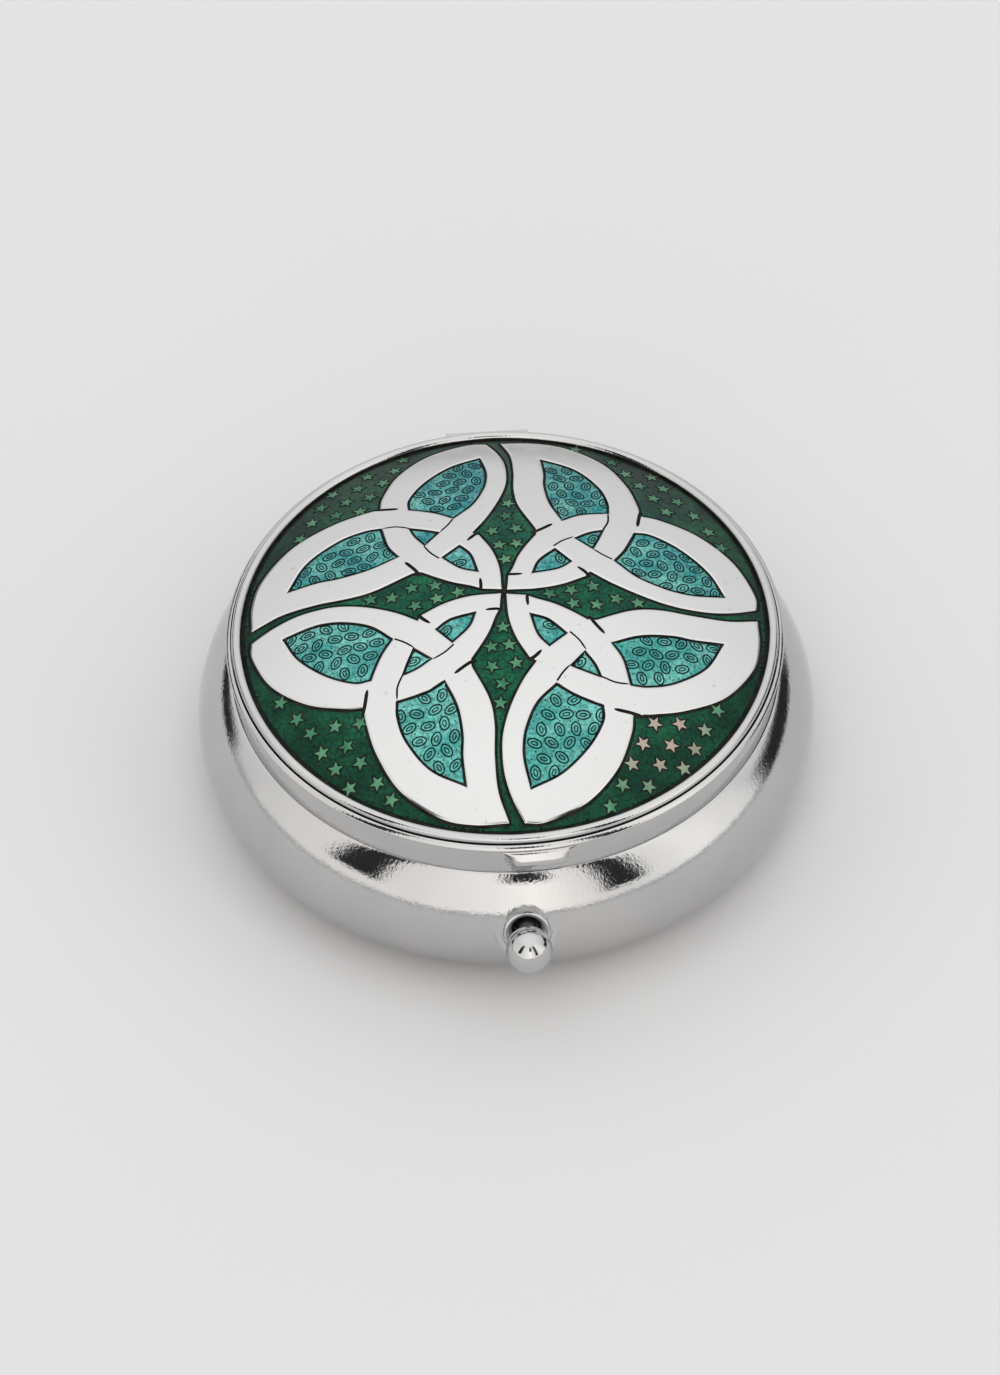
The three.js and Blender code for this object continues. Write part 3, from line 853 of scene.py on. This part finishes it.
class Knot:
    """The medallion's plan: its outlines, and one triangulation of the whole disc."""

    def __init__(self):
        self.petals = turned_quarters([petal_outline()])
        self.cells = turned_quarters(cell_outlines())
        self.slits = turned_quarters([*stub_outlines(), *hairline_outlines()])
        self.rim = np.array(arc(0, 0, MEDALLION_R - 0.05, 0, 360, 240)[:-1])
        self.distance = distance_to([*self.petals, *self.cells, self.rim])
        self.triangulate()

    def triangulate(self):
        """One triangulation with every outline among its edges, and each point's distance."""
        points, edges = [], []
        for line in [self.rim, *self.petals, *self.cells, *self.slits]:
            start, count = len(points), len(line)
            points += [tuple(p) for p in line]
            edges += [(start + k, start + (k + 1) % count) for k in range(count)]
        extra = np.vstack([self.rows(), self.filling()])
        extra = extra[~inside_any(extra, self.slits)]
        points += [tuple(p) for p in extra]
        result = geometry.delaunay_2d_cdt([Vector(p) for p in points], edges, [], 0, 1e-5, False)
        self.points = np.array([tuple(p) for p in result[0]])
        self.faces = [tuple(f) for f in result[2]]
        self.gap = self.distance(self.points)

    def rows(self):
        """Points along both sides of every outline, so that its edges can be shaped."""
        out = []
        for line in [*self.petals, *self.cells, self.rim]:
            along = np.roll(line, -1, axis=0) - np.roll(line, 1, axis=0)
            along /= np.maximum(np.linalg.norm(along, axis=1), 1e-9)[:, None]
            side = np.stack([-along[:, 1], along[:, 0]], 1)
            for offset in (EDGE_ROUND, -EDGE_ROUND, LINE_WIDTH, -LINE_WIDTH):
                row = line + side * offset
                out.append(row[self.distance(row) > abs(offset) - 0.015])
        return np.vstack(out)

    def filling(self):
        """Points over the rest of the disc, clear of the outlines."""
        fill = honeycomb(0.5, MEDALLION_R - 0.2)
        return fill[self.distance(fill) > LINE_WIDTH + 0.1]

    def kinds(self):
        """What each face is: band, line, green or turquoise."""
        middles = np.array([self.points[list(face)].mean(0) for face in self.faces])
        in_cell = inside_any(middles, self.cells)
        band = inside_any(middles, self.petals) & ~in_cell
        line = inside_any(middles, self.slits)
        line |= ~band & (self.distance(middles) < LINE_WIDTH - 0.01)
        return np.where(line, "line", np.where(band, "band", np.where(in_cell, "cell", "field")))


def domed_piece(name, knot, faces, drop, depth):
    """A closed sheet over part of the plan: drop(k) is a point's depth below the dome's top."""
    used = sorted({k for face in faces for k in face})
    index = {k: n for n, k in enumerate(used)}
    verts, count = [], len(used)
    for fall in (drop, lambda k: depth):
        for k in used:
            x, y = knot.points[k]
            verts.append((x * MM, y * MM, (dome_height(x, y) - fall(k)) * MM))
    upper, edges = [], set()
    for face in faces:
        a, b, c = (knot.points[k] for k in face)
        area = (b[0] - a[0]) * (c[1] - a[1]) - (b[1] - a[1]) * (c[0] - a[0])
        corner = [index[k] for k in (face if area > 0 else face[::-1])]
        upper.append(corner)
        edges.update(zip(corner, corner[1:] + corner[:1]))
    lower = [[k + count for k in face[::-1]] for face in upper]
    border = [(p, q) for p, q in edges if (q, p) not in edges]
    walls = [[q, p, p + count, q + count] for p, q in sorted(border)]
    mesh = bpy.data.meshes.new(name)
    mesh.from_pydata(verts, [], upper + lower + walls)
    flags = [True] * len(upper) + [False] * (len(lower) + len(walls))
    mesh.polygons.foreach_set("use_smooth", flags)
    mesh.update()
    rims = {tuple(sorted(pair)) for pair in border}
    for edge in mesh.edges:
        if tuple(sorted(edge.vertices)) in rims:
            edge.use_edge_sharp = True
    return linked(name, mesh)


def lifted(x, y, rise):
    """A point above the enamel's ground."""
    return (x * MM, y * MM, (dome_height(x, y) - GROUND_DROP + rise) * MM)


def star_points(size, waist):
    """A five-pointed star's ten corners. Its inner ones are at waist times its size."""
    angles = [math.radians(90 + 36 * k) for k in range(10)]
    return [(r * math.cos(a), r * math.sin(a)) for r, a in zip([size, size * waist] * 5, angles)]


def star_piece(name, places, size, waist, edge_rise, peak_rise):
    """Low five-pointed stars, each with upright sides and a shallow pyramid on top."""
    verts, faces = [], []
    for x, y, turn in places:
        base = len(verts)
        c, s = math.cos(turn), math.sin(turn)
        tips = [(x + u * c - v * s, y + u * s + v * c) for u, v in star_points(size, waist)]
        verts += [lifted(u, v, -0.05) for u, v in tips]
        verts += [lifted(u, v, edge_rise) for u, v in tips]
        verts += [lifted(x, y, peak_rise), lifted(x, y, -0.05)]
        for k in range(10):
            j = (k + 1) % 10
            faces.append((base + k, base + j, base + 10 + j, base + 10 + k))
            faces.append((base + 10 + k, base + 10 + j, base + 20))
            faces.append((base + j, base + k, base + 21))
    mesh = bpy.data.meshes.new(name)
    mesh.from_pydata(verts, [], faces)
    return linked(name, mesh)


def oval_piece(name, places):
    """Rings with a low crest: two round each oval, one inside the other, and dots between."""
    verts, faces = [], []
    steps = 20
    section = ((-1, -0.03), (-0.85, 0.02), (0.85, 0.02), (1, -0.03))
    rows = len(section)
    for x, y, turn, long, wide, line in places:
        base = len(verts)
        c, s = math.cos(turn), math.sin(turn)
        for k in range(steps):
            t = 2 * math.pi * k / steps
            for share, rise in section:
                u = (long + share * line / 2) * math.cos(t)
                v = (wide + share * line / 2) * math.sin(t)
                verts.append(lifted(x + u * c - v * s, y + u * s + v * c, rise))
        for k in range(steps):
            j = (k + 1) % steps
            here, there = base + rows * k, base + rows * j
            for row in range(rows):
                above = (row + 1) % rows
                faces.append((here + row, there + row, there + above, here + above))
    mesh = bpy.data.meshes.new(name)
    mesh.from_pydata(verts, [], faces)
    mesh.polygons.foreach_set("use_smooth", [True] * len(faces))
    mesh.update()
    return linked(name, mesh)


def star_places(knot, rng):
    """Scattered stars in the outer fields, and seven set ones in each inner field."""
    def in_field(p):
        far_out = np.hypot(p[:, 0], p[:, 1]) > 11.5
        return ~inside_any(p, knot.petals) & (knot.distance(p) > 0.42) & far_out

    places = [(x, y) for x, y in scatter(2.0, 0.14, in_field, rng)]
    set_ones = (
        (3.6, 0), (5.3, 0.55), (5.5, -0.85), (7.0, 1.15), (7.35, -0.75), (8.9, 0.1), (10.6, 0),
    )
    for k in range(4):
        a = math.radians(90 * k + KNOT_TURN)
        c, s = math.cos(a), math.sin(a)
        places += [(out * c - side * s, out * s + side * c) for out, side in set_ones]
    return [(x, y, rng.uniform(0, 2 * math.pi)) for x, y in places]


def oval_places(knot, rng):
    """Ovals, each an outer and an inner ring, and small dots in the room between them.

    Each place is x, y, turn, half length, half width and the ring's width.
    """
    def in_cell(p):
        return inside_any(p, knot.cells) & (knot.distance(p) > 0.34)

    def in_room(p):
        return inside_any(p, knot.cells) & (knot.distance(p) > 0.3)

    places = []
    for x, y in scatter(1.36, 0.09, in_cell, rng):
        turn = math.radians(rng.choice((15, 60, 105, 150)) + rng.uniform(-18, 18))
        places.append((x, y, turn, 0.56, 0.37, 0.13))
        places.append((x, y, turn, 0.27, 0.13, 0.1))
    dot, clear = 0.035, 0.62
    ovals = np.array([place[:2] for place in places])
    for x, y in scatter(0.71, 0.05, in_room, rng):
        if np.min(np.hypot(ovals[:, 0] - x, ovals[:, 1] - y)) > clear:
            places.append((x, y, 0, dot, dot, 0.05))
    return places


def make_knotwork(silver, green, turquoise, line, star_finish, oval_finish):
    """The bands, dark lines, two enamels, stars and ovals, all on the dome."""
    knot = Knot()
    kinds = knot.kinds()

    def band_drop(k):
        """Rounds a band's edge."""
        return 0.05 * max(0.0, 1 - knot.gap[k] / EDGE_ROUND) ** 2

    line_drop, depth = 0.17, 0.26
    pieces = (
        ("knot_bands", "band", band_drop, silver, "silver_plate"),
        # dark_lines: the grooves round the cells and the slits, their black partly painted shade
        ("dark_lines", "line", lambda k: line_drop, line, "enamel"),
        ("green_enamel", "field", lambda k: GROUND_DROP, green, "enamel"),
        ("turquoise_enamel", "cell", lambda k: GROUND_DROP, turquoise, "enamel"),
    )
    for name, sort, drop, material, slot in pieces:
        chosen = [face for face, kind in zip(knot.faces, kinds) if kind == sort]
        piece = domed_piece(name, knot, chosen, drop, depth)
        dress(piece, "lid", material, slot, "enamel_layer")
    rng = random.Random(4)
    stars = star_places(knot, rng)
    for name, size, waist, edge, peak, material in (
        ("star_shadows", 0.84, 0.52, 0.008, 0.008, line),
        ("star_reliefs", 0.62, 0.42, 0.03, 0.06, star_finish),
    ):
        piece = star_piece(name, stars, size, waist, edge, peak)
        dress(piece, "lid", material, "enamel", "enamel_layer")
    ovals = oval_piece("oval_reliefs", oval_places(knot, rng))
    dress(ovals, "lid", oval_finish, "enamel", "enamel_layer")


# ---- inside and back ----


def softened(node, name, width, heights=()):
    """A node's shape with its sharp edges rounded, and rows of points at some heights."""
    bm = bmesh.new()
    bm.from_mesh(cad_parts[node].data)
    bmesh.ops.scale(bm, vec=(1 / MM, 1 / MM, 1 / MM), verts=bm.verts)
    bmesh.ops.remove_doubles(bm, verts=bm.verts, dist=1e-4)
    flat, sharp = math.radians(0.6), math.radians(38)
    bmesh.ops.dissolve_limit(bm, angle_limit=flat, verts=bm.verts, edges=bm.edges)
    rounded = [
        edge for edge in bm.edges
        if len(edge.link_faces) == 2 and edge.calc_face_angle() > sharp
    ]
    bmesh.ops.bevel(
        bm, geom=rounded, offset=width, segments=2, profile=0.5, affect="EDGES", clamp_overlap=True,
    )
    for height in heights:
        every = [*bm.verts, *bm.edges, *bm.faces]
        bmesh.ops.bisect_plane(bm, geom=every, plane_co=(0, 0, height), plane_no=(0, 0, 1))
    bmesh.ops.triangulate(bm, faces=[face for face in bm.faces if len(face.verts) > 4])
    return finish_mesh(bm, name, 32)


def make_inside(chrome, steel, silver):
    """The tray, mirror, hinge and latch parts, each its node's shape with softened edges."""
    tray, mirror, foam = tray_material(), mirror_material(), foam_material()
    for node, name, width, body, material, slot in (
        ("compartment_tray", "pill_tray", 0.16, "base", tray, "tray_plastic"),
        ("latch_rivet_left", "rivet_left", 0.06, "base", steel, "spring_steel"),
        ("latch_rivet_right", "rivet_right", 0.06, "base", steel, "spring_steel"),
        ("hinge_base_leaf", "hinge_leaf_low", 0.04, "base", steel, "spring_steel"),
        ("hinge_pin", "hinge_axle", 0.04, "base", steel, "spring_steel"),
        ("stem_clip", "retaining_clip", 0.03, "button", steel, "spring_steel"),
        ("lid_catch", "catch_plate", 0.05, "lid", steel, "spring_steel"),
        ("medallion_plate", "medallion_back", 0.05, "lid", silver, "silver_plate"),
        ("mirror_pad", "foam_pad", 0.05, "lid", foam, "pad_foam"),
        ("mirror", "mirror_disc", 0.12, "lid", mirror, "mirror_glass"),
        ("mirror_bezel", "mirror_ring", 0.09, "lid", chrome, "chrome"),
        ("hinge_lid_leaf", "hinge_leaf_high", 0.04, "lid", steel, "spring_steel"),
    ):
        dress(softened(node, name, width), body, material, slot, node)


def make_latch(steel):
    """The leaf spring: its foot stays on the case; its edges are softened and it is cut into rows
    between two heights.
    """
    low, _ = span("latch_leaf")
    bending = (low.z + 0.5, 4.6)
    heights = np.linspace(*bending, 14)
    leaf = softened("latch_leaf", "latch_spring", 0.06, heights)
    leaf.data.materials.append(steel)
    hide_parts("latch_leaf")
    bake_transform(leaf)


# ---- everything ----


def dress_cad(node, material):
    """Gives a CAD node that stays in view its material."""
    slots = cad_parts[node].data.materials
    slots.clear()
    slots.append(material)


def main():
    """The studio, every new piece, and the material of the nodes that stay in view."""
    bpy.context.scene.view_settings.view_transform = "Standard"
    studio_camera()
    studio_world()
    studio_floor()
    chrome, steel, silver = chrome_material(), steel_material(), silver_material()
    green = enamel_material(
        "green_enamel", (0.002, 0.062, 0.032), (0.001, 0.052, 0.036), (0.010, 0.13, 0.06), 0.5,
    )
    turquoise = enamel_material(
        "turquoise_enamel", (0.06, 0.33, 0.29), (0.03, 0.27, 0.29), (0.16, 0.48, 0.43), 0.9,
    )
    make_case(chrome)
    make_neck(chrome)
    make_button(chrome, steel)
    line = line_material()
    make_lid_metal(chrome, line)
    make_knotwork(silver, green, turquoise, line, star_material(), oval_material())
    make_inside(chrome, steel, silver)
    make_latch(steel)
    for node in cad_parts:
        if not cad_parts[node].hide_render:
            dress_cad(node, steel)


main()
